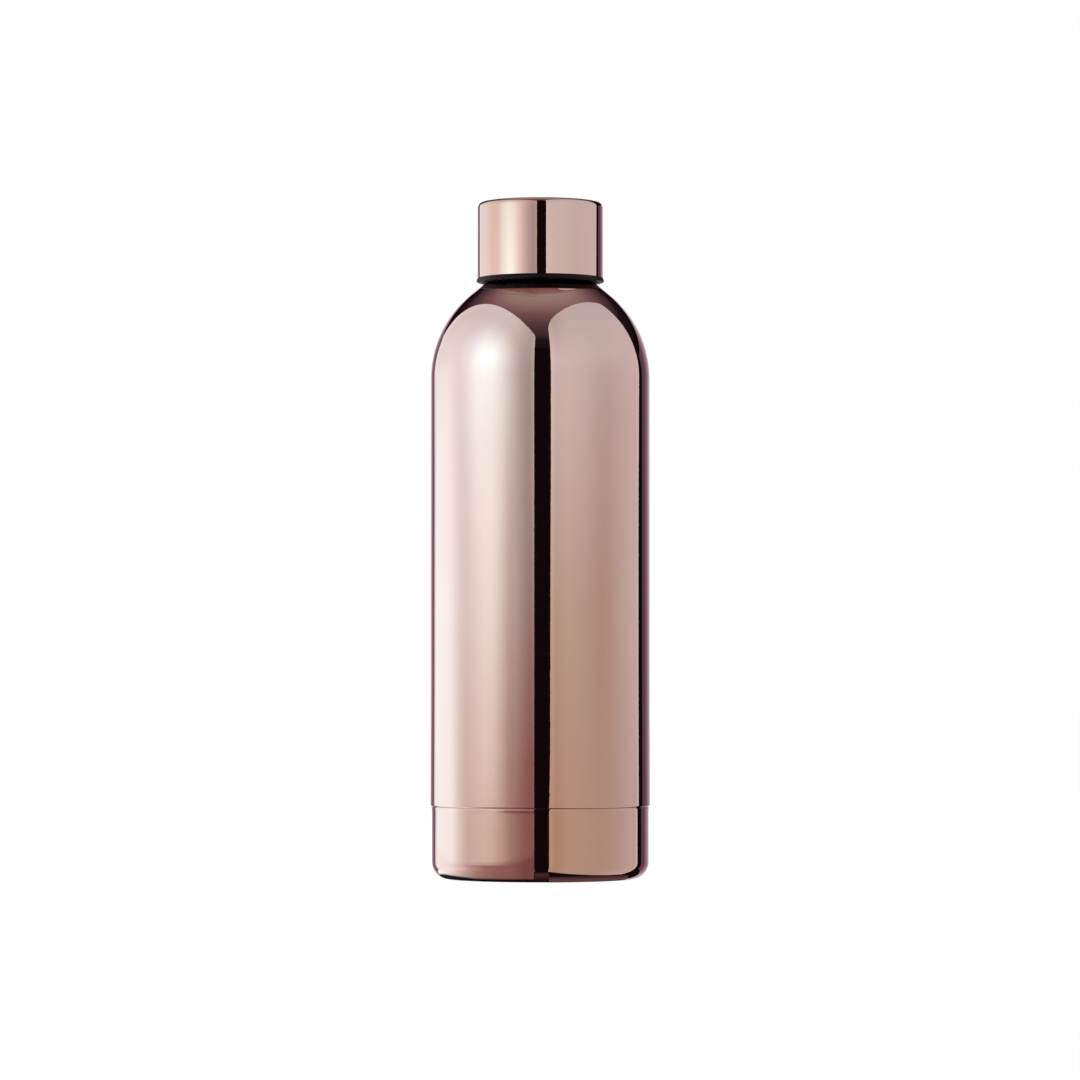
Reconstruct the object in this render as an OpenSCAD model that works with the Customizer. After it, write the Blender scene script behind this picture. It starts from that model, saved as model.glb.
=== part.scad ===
// Slim double-wall steel water bottle with a screw cap.
// The origin is at the centre of the foot, on the surface it stands on, and +Z runs up the bottle.
// All lengths are in millimetres.

/* [Body] */
// Outer diameter of the straight wall
body_d = 70; // [66:0.5:76]
// Height of the foot of the domed shoulder
shoulder_z = 159.95; // [120:0.05:159.95]
// Radius of the domed shoulder
shoulder_r = 34.85; // [34.5:0.05:34.9]
// How far round the dome goes before it turns into a straight cone
shoulder_angle = 51; // [47:0.1:51.5]
// Extra radius of the wall at its lower edge
flare = 0.1; // [0:0.05:0.2]
// Height where the flare starts
flare_top_z = 60; // [40:1:90]
// Thickness of the steel sheet
sheet = 0.4; // [0.3:0.05:0.5]
// Width of the vacuum gap between the two walls
vacuum_gap = 2.6; // [2.2:0.1:3]

/* [Foot] */
// Outer diameter of the cup over the foot
foot_d = 69.3; // [69:0.1:69.5]
// Height of the cup over the foot
foot_h = 23; // [18:0.05:24]
// Outer corner radius of the cup
foot_corner_r = 5.4; // [3:0.1:5.5]
// Extra radius of the cup at its upper edge
foot_rim_bulge = 0.1; // [0:0.05:0.15]
// Radius of the recess under the foot
recess_r = 24; // [20:1:26]
// Depth of the recess under the foot
recess_depth = 1.6; // [1:0.1:2]
// Gap between the cup and the rolled edge of the wall above it
seam_gap = 0.15; // [0.1:0.05:0.3]

/* [Neck] */
// Diameter of the mouth
mouth_d = 32.4; // [31:0.2:33]
// Thickness of the neck wall
neck_wall = 0.9; // [0.7:0.1:1]
// Height of the rim of the mouth
rim_z = 209.6; // [209.4:0.05:209.6]

/* [Thread] */
// Rise of the thread in one turn
thread_lead = 4; // [3.5:0.1:4.5]
// Height of the neck thread's ridge above the neck
thread_depth = 0.9; // [0.7:0.05:1]
// Turns of thread on the neck
neck_turns = 2.5; // [1.5:0.25:2.5]
// Turns of thread in the cap
cap_turns = 2.25; // [1.5:0.25:2.5]

/* [Cap] */
// Outer diameter of the steel cap
cap_d = 40.2; // [40:0.1:41]
// Height of the top of the cap
total_h = 216.6; // [216.2:0.1:218]
// Height of the lower edge of the steel cap
cap_low_z = 192.25; // [191.85:0.05:192.85]
// Rounding of the cap's upper edge
cap_edge_r = 1.7; // [0.8:0.05:2]
// Thickness of the steel cap
cap_sheet = 0.48; // [0.4:0.02:0.6]
// Diameter over the flared lip of the cap's plastic liner
lip_d = 41.3; // [41:0.1:42]
// Height of the underside of the lip
lip_low_z = 191; // [190.8:0.05:191.1]

/* [Hidden] */
$fn = 144;

// Radii of the two walls
body_r = body_d / 2;
foot_r = foot_d / 2;
skirt_r = foot_r - sheet;
inner_r = body_r - sheet - vacuum_gap;
inner_shoulder_r = shoulder_r - sheet - vacuum_gap;
mouth_r = mouth_d / 2;
neck_r = mouth_r + neck_wall;
collar_play = 0.02;
collar_bore_r = neck_r + collar_play;
collar_r = collar_bore_r + sheet;

// The rolled lower edge of the outer wall, which steps in to the skirt inside the cup
roll_r = 0.6;
roll_x = body_r + flare - roll_r;
roll_z = foot_h + seam_gap + sqrt(pow(roll_r, 2) - pow(skirt_r - roll_x, 2));
skirt_low_z = 5.6;
collar_top_z = 192.75;

// The plates that close the two walls
outer_plate_z = skirt_low_z;
outer_plate_h = 6.5;
inner_plate_z = 10.8;
inner_plate_h = 7.5;
inner_wall_low_z = inner_plate_z + 3.5;
plate_corner_r = 3.2;
port_r = 0.8;
port_dimple_r = 5;
port_dimple_depth = 2;
bead_depth = 1.2;
bead_tail = 0.25;
inner_dimple_r = 12;
inner_dimple_depth = 1;

// The reflecting foil round the inner wall and under it
foil_t = 0.15;
foil_low_z = 19;
foil_top_z = 157;
foil_disc_r = 27;

// The getter and the strap that holds it down
getter_x = 16;
getter_r = 4;
getter_h = 1.8;
clip_t = 0.3;
clip_w = 4;
clip_foot = 3;

// The cap's liner, gasket and insulation
liner_r = cap_d / 2 - cap_sheet;
liner_bore_r = 18.4;
liner_plate_t = 1.2;
gasket_t = 1.75;
gasket_play = 0.05;
gasket_r = 18.2;
gasket_hole_r = 15;
gasket_corner = 0.3;
liner_plate_z = rim_z + gasket_t + gasket_play;
liner_top_z = liner_plate_z + liner_plate_t;
bead_r = 0.6;
entry_chamfer = 0.6;
lip_round_r = 0.4;
insulation_r = liner_r - 0.6;
insulation_chamfer = 0.8;

// The thread profiles; each ridge starts inside the wall that carries it
thread_steps = 48;
thread_fade = 40;
thread_sunk = 0.2;
thread_root_w = 1.7;
thread_crest_w = 0.8;
neck_thread_z = 195.95;
cap_thread_drop = 1.25;
cap_thread_z = neck_thread_z - cap_thread_drop;
cap_crest_r = 17.4;

// Turns a half section about the Z axis
module lathe() {
    rotate_extrude() children();
}

// Keeps the part of a half section that is right of the axis
module right_half() {
    intersection() {
        translate([0, -10]) square([body_d, total_h + 40]);
        union() children();
    }
}

// Half section of a drum with a rounded lower corner
module drum(r, low_z, high_z, corner_r) {
    translate([0, low_z + corner_r]) square([r, high_z - low_z - corner_r]);
    translate([0, low_z]) square([r - corner_r, high_z - low_z]);
    translate([r - corner_r, low_z + corner_r]) circle(corner_r);
}

// Half section of a straight wall, a domed shoulder, the cone above it and a neck
module flask(wall_r, dome_r, throat_r, low_z, high_z) {
    cone_x = wall_r - dome_r + dome_r * cos(shoulder_angle);
    cone_z = shoulder_z + dome_r * sin(shoulder_angle);
    throat_z = cone_z + (cone_x - throat_r) / tan(shoulder_angle);
    right_half() {
        translate([0, low_z]) square([wall_r, shoulder_z - low_z]);
        translate([wall_r - dome_r, shoulder_z]) circle(dome_r);
        polygon([[0, cone_z], [cone_x, cone_z], [throat_r, throat_z], [0, throat_z]]);
        translate([0, throat_z - 1]) square([throat_r, high_z - throat_z + 1]);
    }
}

// Half section of a round dimple's ball above cut_z, where the dimple rises from height z
module dimple_ball(rim_r, depth, z, grow, cut_z) {
    ball_r = (pow(rim_r, 2) + pow(depth, 2)) / (2 * depth);
    intersection() {
        translate([0, z + depth - ball_r]) circle(ball_r + grow);
        translate([0, cut_z]) square([rim_r * 2, depth * 2]);
    }
}

// Half section of a flanged plate with a rounded corner and a central dimple
module plate(r, low_z, height, dimple_r, dimple_depth) {
    difference() {
        union() {
            difference() {
                drum(r, low_z, low_z + height, plate_corner_r);
                drum(r - sheet, low_z + sheet, low_z + height + 1, plate_corner_r - sheet);
            }
            dimple_ball(dimple_r, dimple_depth, low_z, sheet, low_z);
        }
        dimple_ball(dimple_r, dimple_depth, low_z, 0, low_z - sheet);
    }
}

// One ring of a thread ridge at an angle: foot, crest, crest, foot
function ridge_ring(angle, low_z, foot_r, crest_r) = [
    [foot_r * cos(angle), foot_r * sin(angle), low_z + thread_lead * angle / 360 - thread_root_w / 2],
    [crest_r * cos(angle), crest_r * sin(angle), low_z + thread_lead * angle / 360 - thread_crest_w / 2],
    [crest_r * cos(angle), crest_r * sin(angle), low_z + thread_lead * angle / 360 + thread_crest_w / 2],
    [foot_r * cos(angle), foot_r * sin(angle), low_z + thread_lead * angle / 360 + thread_root_w / 2]];

// Share of the full ridge height at an angle, which fades to nothing at both ends
function ridge_share(angle, turns) = min(1, angle / thread_fade, (turns * 360 - angle) / thread_fade);

// A right-hand helical ridge from foot_r to crest_r, either way round
module ridge(foot_r, crest_r, low_z, turns) {
    rings = round(turns * thread_steps);
    start_r = foot_r + 0.1 * sign(crest_r - foot_r);
    points = [for (i = [0 : rings])
        let (angle = i * 360 / thread_steps,
             share = ridge_share(angle, turns))
        each ridge_ring(angle, low_z, foot_r, start_r + (crest_r - start_r) * share)];
    sides = [for (i = [0 : rings - 1], j = [0 : 3])
        let (a = 4 * i + j,
             b = 4 * i + (j + 1) % 4)
        each [[a, b, b + 4], [a, b + 4, a + 4]]];
    last = 4 * rings;
    ends = [[0, 3, 2], [0, 2, 1], [last, last + 1, last + 2], [last, last + 2, last + 3]];
    faces = concat(sides, ends);
    flipped = [for (face = faces) [face[2], face[1], face[0]]];
    polyhedron(points, crest_r > foot_r ? faces : flipped);
}

// Outer wall: neck collar, domed shoulder, straight wall, rolled edge and the skirt inside the cup
module outer_shell() {
    color("#d7a994") lathe() difference() {
        union() {
            flask(body_r, shoulder_r, collar_r, roll_z, collar_top_z);
            polygon([[0, roll_z], [body_r + flare, roll_z], [body_r, flare_top_z], [0, flare_top_z]]);
            translate([roll_x, roll_z]) circle(roll_r);
            translate([0, skirt_low_z]) square([skirt_r, roll_z]);
        }
        flask(body_r - sheet, shoulder_r - sheet, collar_bore_r, roll_z + sheet, total_h);
        polygon([[0, 0], [skirt_r - sheet, 0], [skirt_r - sheet, roll_z - sheet],
                 [body_r - sheet, roll_z + sheet], [0, roll_z + sheet]]);
    }
}

// Mirror cup over the foot, with a shallow recess under it
module base_cup() {
    rim_r = foot_r + foot_rim_bulge;
    edge_r = sheet / 2;
    bulge_h = 1.3;
    recess_slope = 3;
    color("#cf9f8a") lathe() difference() {
        union() {
            difference() {
                union() {
                    drum(foot_r, 0, foot_h - edge_r, foot_corner_r);
                    polygon([[0, foot_h - bulge_h], [foot_r, foot_h - bulge_h],
                             [rim_r, foot_h - edge_r], [0, foot_h - edge_r]]);
                    translate([rim_r - edge_r, foot_h - edge_r]) circle(edge_r);
                    translate([0, foot_h - edge_r]) square([rim_r - edge_r, edge_r]);
                }
                drum(skirt_r, sheet, foot_h + 1, foot_corner_r - sheet);
            }
            polygon([[0, 0], [recess_r, 0], [recess_r + sheet, sheet],
                     [recess_r + sheet - recess_slope, recess_depth + sheet], [0, recess_depth + sheet]]);
        }
        polygon([[0, -1], [recess_r, -1], [recess_r, 0],
                 [recess_r - recess_slope, recess_depth], [0, recess_depth]]);
    }
}

// Plate that closes the outer wall, with the port the air was drawn out of
module outer_bottom() {
    color("#b9bcc0") lathe() difference() {
        plate(skirt_r - sheet, outer_plate_z, outer_plate_h, port_dimple_r, port_dimple_depth);
        square([port_r, total_h]);
    }
}

// Glass bead that closes the port
module seal_bead() {
    crown_z = outer_plate_z + port_dimple_depth;
    color("#7f8f86") lathe() {
        intersection() {
            dimple_ball(port_dimple_r, port_dimple_depth, outer_plate_z, 0, outer_plate_z);
            translate([0, crown_z - bead_depth]) square([port_dimple_r, bead_depth]);
        }
        translate([0, crown_z - bead_depth]) square([port_r, bead_depth + sheet + bead_tail]);
    }
}

// Inner wall: straight wall, dome, cone and the neck with its rim and thread
module inner_vessel() {
    color("#c4c7ca") union() {
        lathe() difference() {
            union() {
                flask(inner_r, inner_shoulder_r, neck_r, inner_wall_low_z, rim_z - neck_wall / 2);
                translate([mouth_r + neck_wall / 2, rim_z - neck_wall / 2]) circle(neck_wall / 2);
            }
            flask(inner_r - sheet, inner_shoulder_r - sheet, mouth_r, 0, rim_z + 10);
        }
        ridge(neck_r - thread_sunk, neck_r + thread_depth, neck_thread_z, neck_turns);
    }
}

// Plate that closes the inner wall
module inner_bottom() {
    color("#b4b8bc") lathe()
        plate(inner_r - sheet, inner_plate_z, inner_plate_h, inner_dimple_r, inner_dimple_depth);
}

// Copper foil sleeve round the inner wall
module radiation_foil() {
    color("#b87350") lathe()
        translate([inner_r, foil_low_z]) square([foil_t, foil_top_z - foil_low_z]);
}

// Copper foil disc under the inner wall's plate
module foil_disc() {
    color("#b87350") lathe()
        translate([inner_dimple_r + 1, inner_plate_z - foil_t])
            square([foil_disc_r - inner_dimple_r - 1, foil_t]);
}

// Getter pellet that takes up the last gas in the vacuum gap
module getter() {
    color("#5b5e63") translate([getter_x, 0, outer_plate_z + sheet]) cylinder(h = getter_h, r = getter_r);
}

// Steel strap that holds the getter on the outer plate
module getter_clip() {
    low_z = outer_plate_z + sheet;
    inside = getter_r;
    outside = inside + clip_t;
    reach = outside + clip_foot;
    color("#9da1a6") translate([getter_x, clip_w / 2, low_z]) rotate([90, 0, 0])
        linear_extrude(clip_w)
            polygon([[-reach, 0], [-inside, 0], [-inside, getter_h], [inside, getter_h], [inside, 0],
                     [reach, 0], [reach, clip_t], [outside, clip_t], [outside, getter_h + clip_t],
                     [-outside, getter_h + clip_t], [-outside, clip_t], [-reach, clip_t]]);
}

// Silicone ring that seals the liner against the rim of the mouth
module cap_gasket() {
    color("#e6e3dc") lathe()
        polygon([[gasket_hole_r, rim_z], [gasket_r - gasket_corner, rim_z], [gasket_r, rim_z + gasket_corner],
                 [gasket_r, rim_z + gasket_t - gasket_corner], [gasket_r - gasket_corner, rim_z + gasket_t],
                 [gasket_hole_r, rim_z + gasket_t]]);
}

// Steel cup of the cap
module cap_shell() {
    color("#d7a994") lathe() difference() {
        translate([0, total_h + cap_low_z]) mirror([0, 1])
            drum(cap_d / 2, cap_low_z, total_h, cap_edge_r);
        translate([0, total_h + cap_low_z - 2]) mirror([0, 1])
            drum(liner_r, cap_low_z - 2 + cap_sheet, total_h + 4, cap_edge_r - cap_sheet);
    }
}

// Plastic liner of the cap: flared lip, threaded bore, gasket seat and top plate
module cap_liner() {
    lip_r = lip_d / 2;
    lip_top_r = cap_d / 2 + 0.07;
    color("#17181a") union() {
        lathe() difference() {
            union() {
                translate([0, lip_low_z]) square([liner_r, liner_top_z - lip_low_z]);
                polygon([[0, lip_low_z], [lip_r - lip_round_r, lip_low_z], [lip_r, lip_low_z + lip_round_r],
                         [lip_top_r, cap_low_z], [0, cap_low_z]]);
                translate([lip_r - lip_round_r, lip_low_z + lip_round_r]) circle(lip_round_r);
            }
            difference() {
                translate([0, 0]) square([liner_bore_r, liner_plate_z]);
                translate([liner_bore_r, rim_z - bead_r]) circle(bead_r);
            }
            polygon([[0, lip_low_z - 1], [liner_bore_r + entry_chamfer, lip_low_z - 1],
                     [liner_bore_r + entry_chamfer, lip_low_z],
                     [liner_bore_r, lip_low_z + entry_chamfer], [0, lip_low_z + entry_chamfer]]);
        }
        ridge(liner_bore_r + thread_sunk, cap_crest_r, cap_thread_z, cap_turns);
    }
}

// Foam disc between the liner and the top of the steel cap
module cap_insulation() {
    top_z = total_h - cap_sheet;
    color("#dcdcd8") lathe()
        polygon([[0, liner_top_z], [insulation_r, liner_top_z], [insulation_r, top_z - insulation_chamfer],
                 [insulation_r - insulation_chamfer, top_z], [0, top_z]]);
}

outer_shell();
base_cup();
outer_bottom();
seal_bead();
inner_vessel();
inner_bottom();
radiation_foil();
foil_disc();
getter();
getter_clip();
cap_gasket();
cap_shell();
cap_liner();
cap_insulation();
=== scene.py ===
"""Looks of the copper-finish insulated bottle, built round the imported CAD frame.

Everything is in metres in the CAD's frame: the origin is at the centre of the foot, +Z runs up
the bottle and the camera stands on the -Y side.
"""

import math

import bmesh
import bpy
from mathutils import Matrix, Vector, noise


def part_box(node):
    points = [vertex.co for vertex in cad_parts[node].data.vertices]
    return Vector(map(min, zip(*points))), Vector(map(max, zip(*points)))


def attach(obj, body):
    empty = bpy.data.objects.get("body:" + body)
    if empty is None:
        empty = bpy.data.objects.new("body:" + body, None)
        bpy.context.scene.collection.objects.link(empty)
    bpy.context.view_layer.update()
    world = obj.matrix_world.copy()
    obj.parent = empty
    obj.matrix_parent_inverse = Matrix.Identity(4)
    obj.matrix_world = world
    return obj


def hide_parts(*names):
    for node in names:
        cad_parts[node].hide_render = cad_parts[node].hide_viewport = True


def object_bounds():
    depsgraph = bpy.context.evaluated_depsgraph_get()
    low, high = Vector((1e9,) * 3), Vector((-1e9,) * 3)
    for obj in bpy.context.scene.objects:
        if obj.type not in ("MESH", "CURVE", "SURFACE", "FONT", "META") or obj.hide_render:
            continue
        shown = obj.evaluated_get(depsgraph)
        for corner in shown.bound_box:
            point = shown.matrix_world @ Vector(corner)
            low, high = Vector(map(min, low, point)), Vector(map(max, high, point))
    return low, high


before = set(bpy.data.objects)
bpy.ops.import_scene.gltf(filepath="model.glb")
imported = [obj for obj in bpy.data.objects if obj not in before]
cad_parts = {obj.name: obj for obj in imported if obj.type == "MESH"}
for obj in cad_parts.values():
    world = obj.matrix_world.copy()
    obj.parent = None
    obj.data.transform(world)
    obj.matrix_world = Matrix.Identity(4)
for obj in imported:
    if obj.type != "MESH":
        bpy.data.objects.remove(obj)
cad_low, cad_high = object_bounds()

MM = 0.001

# ---------------------------------------------------------------------------------------------
# Sizes, from the CAD nodes' boxes where a box gives them
# ---------------------------------------------------------------------------------------------

SHELL_LOW, SHELL_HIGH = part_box("outer_shell")
CUP_LOW, CUP_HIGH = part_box("base_cup")
VESSEL_LOW, VESSEL_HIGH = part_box("inner_vessel")
PLATE_LOW, PLATE_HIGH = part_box("inner_bottom")
CAP_LOW, CAP_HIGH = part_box("cap_shell")
LINER_LOW, LINER_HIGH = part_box("cap_liner")
GASKET_LOW, GASKET_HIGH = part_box("cap_gasket")

SHEET = 0.4 * MM
FLARE = 0.1 * MM
FLARE_TOP_Z = 60 * MM
SHOULDER_Z = 159.95 * MM
SHOULDER_R = 34.85 * MM
SHOULDER_ANGLE = math.radians(51)
BODY_R = SHELL_HIGH.x - FLARE
VACUUM_GAP = BODY_R - SHEET - VESSEL_HIGH.x
FLARE_BEND_R = 4000 * MM
SEAM_GAP = 0.15 * MM
ROLL_R = 0.6 * MM
ROLL_X = SHELL_HIGH.x - ROLL_R
SKIRT_R = 34.25 * MM
COLLAR_BORE_R = 17.12 * MM
CUP_R = 34.65 * MM
CUP_CORNER_R = 5.4 * MM
CUP_BULGE_H = 1.3 * MM
RECESS_R = 24 * MM
RECESS_DEPTH = 1.6 * MM
RECESS_SLOPE = 3 * MM
MOUTH_R = 16.2 * MM
NECK_R = 17.1 * MM
RIM_R = (NECK_R - MOUTH_R) / 2
CAP_EDGE_R = 1.7 * MM
CAP_SHEET = 0.48 * MM
LIP_TOP_R = 20.17 * MM
LIP_ROUND_R = 0.4 * MM
LINER_R = CAP_HIGH.x - CAP_SHEET
LINER_BORE_R = 18.4 * MM
LINER_SEAT_R = 18.38 * MM
LINER_PLATE_Z = 211.4 * MM
BEAD_R = 0.6 * MM
ENTRY_CHAMFER = 0.6 * MM
THREAD_LEAD = 4 * MM
THREAD_ROOT_W = 1.7 * MM
THREAD_CREST_W = 0.8 * MM
THREAD_FADE = math.radians(40)
NECK_THREAD_Z = 195.95 * MM
NECK_TURNS = 2.5
NECK_THREAD_DEPTH = 0.9 * MM
CAP_THREAD_Z = 194.7 * MM
CAP_TURNS = 2.25
CAP_THREAD_DEPTH = 1.0 * MM

# How finely the outlines are cut and turned
SEGMENTS = 288
ARC_STEP = math.radians(1.5)
LINE_STEP = 3 * MM
THREAD_STEP = 0.12 * MM
SHARP_ANGLE = math.radians(28)
ON_AXIS = 1e-7
SAME_WALL = 0.01 * MM

# The stage: a step longer than any side of a card, the brightest glow, how far the panels and the
# backdrop stand from the bottle's axis, the heights of the floor and of the glows on it, and the
# value of a radial gradient at the front
WHOLE_SIDE = 10
PEAK = 1.5
PANEL_DISTANCE = 0.12
BACKDROP_DISTANCE = 0.5
FLOOR_Z = -0.05 * MM
FLOOR_GLOW_Z = -0.02 * MM
FRONT = 0.25

# ---------------------------------------------------------------------------------------------
# Turned meshes
# ---------------------------------------------------------------------------------------------


def subdivided(start, end, step):
    """Points from start towards end, without end."""
    parts = max(1, math.ceil((end - start).length / step))
    return [start.lerp(end, i / parts) for i in range(parts)]


def fillet(before, corner, after, radius):
    """Points on the arc that rounds a corner."""
    into = (before - corner).normalized()
    out = (after - corner).normalized()
    half = into.angle(out) / 2
    reach = radius / math.tan(half)
    centre = corner + (into + out).normalized() * (radius / math.sin(half))
    first = corner + into * reach - centre
    turn = math.pi - 2 * half
    if first.x * into.y - first.y * into.x > 0:
        turn = -turn
    steps = max(3, math.ceil(abs(turn) / ARC_STEP))
    points = []
    for i in range(steps + 1):
        angle = turn * i / steps
        cosine, sine = math.cos(angle), math.sin(angle)
        x = first.x * cosine - first.y * sine
        y = first.x * sine + first.y * cosine
        points.append(centre + Vector((x, y)))
    return points


def outline(corners, closed, step=LINE_STEP):
    """A fine (radius, height) outline from corners (radius, height[, rounding])."""
    count = len(corners)
    places = [Vector(c[:2]) for c in corners]
    runs = []
    for i, corner in enumerate(corners):
        rounding = corner[2] if len(corner) > 2 else 0
        if rounding and (closed or 0 < i < count - 1):
            runs.append(fillet(places[i - 1], places[i], places[(i + 1) % count], rounding))
        else:
            runs.append([places[i]])
    points = []
    for i, run in enumerate(runs):
        points += run[:-1]
        if i < count - 1 or closed:
            points += subdivided(run[-1], runs[(i + 1) % count][0], step)
        else:
            points.append(run[-1])
    return points


def joined(*runs):
    """Runs of points end to end, where each begins at the last point of the one before."""
    points = []
    for run in runs:
        points = points[:-1] + run
    return points


def link_object(name, data):
    """A new object in the scene."""
    thing = bpy.data.objects.new(name, data)
    bpy.context.scene.collection.objects.link(thing)
    return thing


def lathe(name, points, closed, shape=None):
    """Turns an outline about Z into a closed mesh.

    The shape function takes (radius, height, angle) and gives the point's new radius and height.
    """
    bm = bmesh.new()
    rings = []
    for point in points:
        if point.x < ON_AXIS:
            rings.append([bm.verts.new((0, 0, point.y))])
            continue
        ring = []
        for i in range(SEGMENTS):
            angle = math.tau * i / SEGMENTS
            radius, height = shape(point.x, point.y, angle) if shape else (point.x, point.y)
            ring.append(bm.verts.new((radius * math.cos(angle), radius * math.sin(angle), height)))
        rings.append(ring)
    after = rings[1:] + rings[:1] if closed else rings[1:]
    for low, high in zip(rings, after):
        for i in range(SEGMENTS):
            j = i + 1
            corners = [low[i % len(low)], low[j % len(low)]]
            corners += [high[j % len(high)], high[i % len(high)]]
            bm.faces.new(list(dict.fromkeys(corners)))
    bmesh.ops.recalc_face_normals(bm, faces=bm.faces)
    mesh = bpy.data.meshes.new(name)
    bm.to_mesh(mesh)
    bm.free()
    mesh.shade_smooth()
    mesh.set_sharp_from_angle(angle=SHARP_ANGLE)
    return link_object(name, mesh)


def place(piece, body, slot, material, *nodes):
    """Puts a finished piece on its body with its material, in place of its CAD nodes; its slot is
    not used.
    """
    piece.data.materials.append(material)
    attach(piece, body)
    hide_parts(*nodes)


def ripple(angle, height, size, tall):
    """A smooth number from -1 to 1 that varies round the bottle and over a height of tall."""
    at = Vector((math.cos(angle) * size, math.sin(angle) * size, height / tall))
    return noise.noise(at)


def spun_wall(radius, height, angle):
    """The slight unevenness of a polished spun wall."""
    depth = 0.012 * MM
    return radius + depth * ripple(angle, height, 1.6, 40 * MM), height


def cap_wall(radius, height, angle):
    """The slight unevenness of the pressed cap."""
    depth = 0.006 * MM * min(1, radius / CAP_HIGH.x)
    clear_of_body = height + 1
    return radius + depth * ripple(angle, clear_of_body, 1.4, 14 * MM), height


# ---------------------------------------------------------------------------------------------
# Threads
# ---------------------------------------------------------------------------------------------


def ridge_height(height, angle, low_z, turns):
    """Share of the full ridge at a place on a threaded wall."""
    best = 0
    for turn in range(math.ceil(turns) + 1):
        run = angle + math.tau * turn
        if run > math.tau * turns:
            continue
        off = abs(height - (low_z + THREAD_LEAD * run / math.tau))
        flank = (THREAD_ROOT_W / 2 - off) / ((THREAD_ROOT_W - THREAD_CREST_W) / 2)
        flank = min(1, max(0, flank))
        fade = min(1, run / THREAD_FADE, (math.tau * turns - run) / THREAD_FADE)
        flank = flank * flank * (3 - 2 * flank)
        best = max(best, flank * max(0, fade))
    return best


def neck_thread(radius, height, angle):
    """The neck's outer wall with its rolled thread."""
    if abs(radius - NECK_R) > SAME_WALL:
        return radius, height
    share = ridge_height(height, angle, NECK_THREAD_Z, NECK_TURNS)
    return radius + NECK_THREAD_DEPTH * share, height


def liner_thread(radius, height, angle):
    """The liner's bore with its moulded thread."""
    if abs(radius - LINER_BORE_R) > SAME_WALL:
        return radius, height
    share = ridge_height(height, angle, CAP_THREAD_Z, CAP_TURNS)
    return radius - CAP_THREAD_DEPTH * share, height


# ---------------------------------------------------------------------------------------------
# Node helpers
# ---------------------------------------------------------------------------------------------


def new_material(name):
    """A node material, its node tree and its Principled shader."""
    material = bpy.data.materials.new(name)
    material.use_nodes = True
    tree = material.node_tree
    return material, tree, tree.nodes["Principled BSDF"]


def add(tree, kind, **settings):
    """A new node with its settings."""
    node = tree.nodes.new(kind)
    for key, value in settings.items():
        setattr(node, key, value)
    return node


def place_of(tree):
    """The object coordinates of a point."""
    return add(tree, "ShaderNodeTexCoord").outputs["Object"]


def parts_of(tree, vector):
    """The X, Y and Z outputs of a vector."""
    parts = add(tree, "ShaderNodeSeparateXYZ")
    tree.links.new(vector, parts.inputs["Vector"])
    return parts.outputs


def length_of(tree, vector):
    """The length of a vector."""
    length = add(tree, "ShaderNodeVectorMath", operation="LENGTH")
    tree.links.new(vector, length.inputs[0])
    return length.outputs["Value"]


def noise_of(tree, scale, detail=2.0, stretch=(1, 1, 1), rough=0.5):
    """The value of a noise texture in object coordinates, stretched along the axes."""
    sized = add(tree, "ShaderNodeMapping")
    sized.inputs["Scale"].default_value = stretch
    grain = add(tree, "ShaderNodeTexNoise")
    grain.inputs["Scale"].default_value = scale
    grain.inputs["Detail"].default_value = detail
    grain.inputs["Roughness"].default_value = rough
    tree.links.new(place_of(tree), sized.inputs["Vector"])
    tree.links.new(sized.outputs["Vector"], grain.inputs["Vector"])
    return grain.outputs["Fac"]


def cells_of(tree, scale):
    """The distance from the middle of a Voronoi cell, in object coordinates."""
    cells = add(tree, "ShaderNodeTexVoronoi")
    cells.inputs["Scale"].default_value = scale
    tree.links.new(place_of(tree), cells.inputs["Vector"])
    return cells.outputs["Distance"]


def ramp_of(tree, value, stops, ease="LINEAR"):
    """A colour ramp of (place, colour) stops."""
    ramp = add(tree, "ShaderNodeValToRGB")
    ramp.color_ramp.interpolation = ease
    elements = ramp.color_ramp.elements
    while len(elements) > 1:
        elements.remove(elements[-1])
    elements[0].position = stops[0][0]
    elements[0].color = (*stops[0][1], 1)
    for position, colour in stops[1:]:
        elements.new(position).color = (*colour, 1)
    tree.links.new(value, ramp.inputs["Fac"])
    return ramp.outputs["Color"]


def range_of(tree, value, low, high, to_low, to_high):
    """A value moved from one range to another, and clamped."""
    node = add(tree, "ShaderNodeMapRange")
    for socket, number in zip(node.inputs[1:5], (low, high, to_low, to_high)):
        socket.default_value = number
    tree.links.new(value, node.inputs["Value"])
    return node.outputs["Result"]


def blend_of(tree, way, share, first, second):
    """Two colours blended one way; the share may be a number and the second a fixed colour."""
    node = add(tree, "ShaderNodeMix", data_type="RGBA", blend_type=way)
    if isinstance(share, (int, float)):
        node.inputs["Factor"].default_value = share
    else:
        tree.links.new(share, node.inputs["Factor"])
    tree.links.new(first, node.inputs["A"])
    if isinstance(second, tuple):
        node.inputs["B"].default_value = (*second, 1)
    else:
        tree.links.new(second, node.inputs["B"])
    return node.outputs["Result"]


def grey(level):
    """A colour with no hue."""
    return (level, level, level)


def bump_of(tree, height, strength, distance):
    """A bump from a height value."""
    node = add(tree, "ShaderNodeBump")
    node.inputs["Strength"].default_value = strength
    node.inputs["Distance"].default_value = distance
    tree.links.new(height, node.inputs["Height"])
    return node.outputs["Normal"]


def feed(tree, shader, **outputs):
    """Links outputs to a shader's inputs, as Base_Color=output."""
    for name, output in outputs.items():
        tree.links.new(output, shader.inputs[name.replace("_", " ")])


# ---------------------------------------------------------------------------------------------
# Materials
# ---------------------------------------------------------------------------------------------


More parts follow.
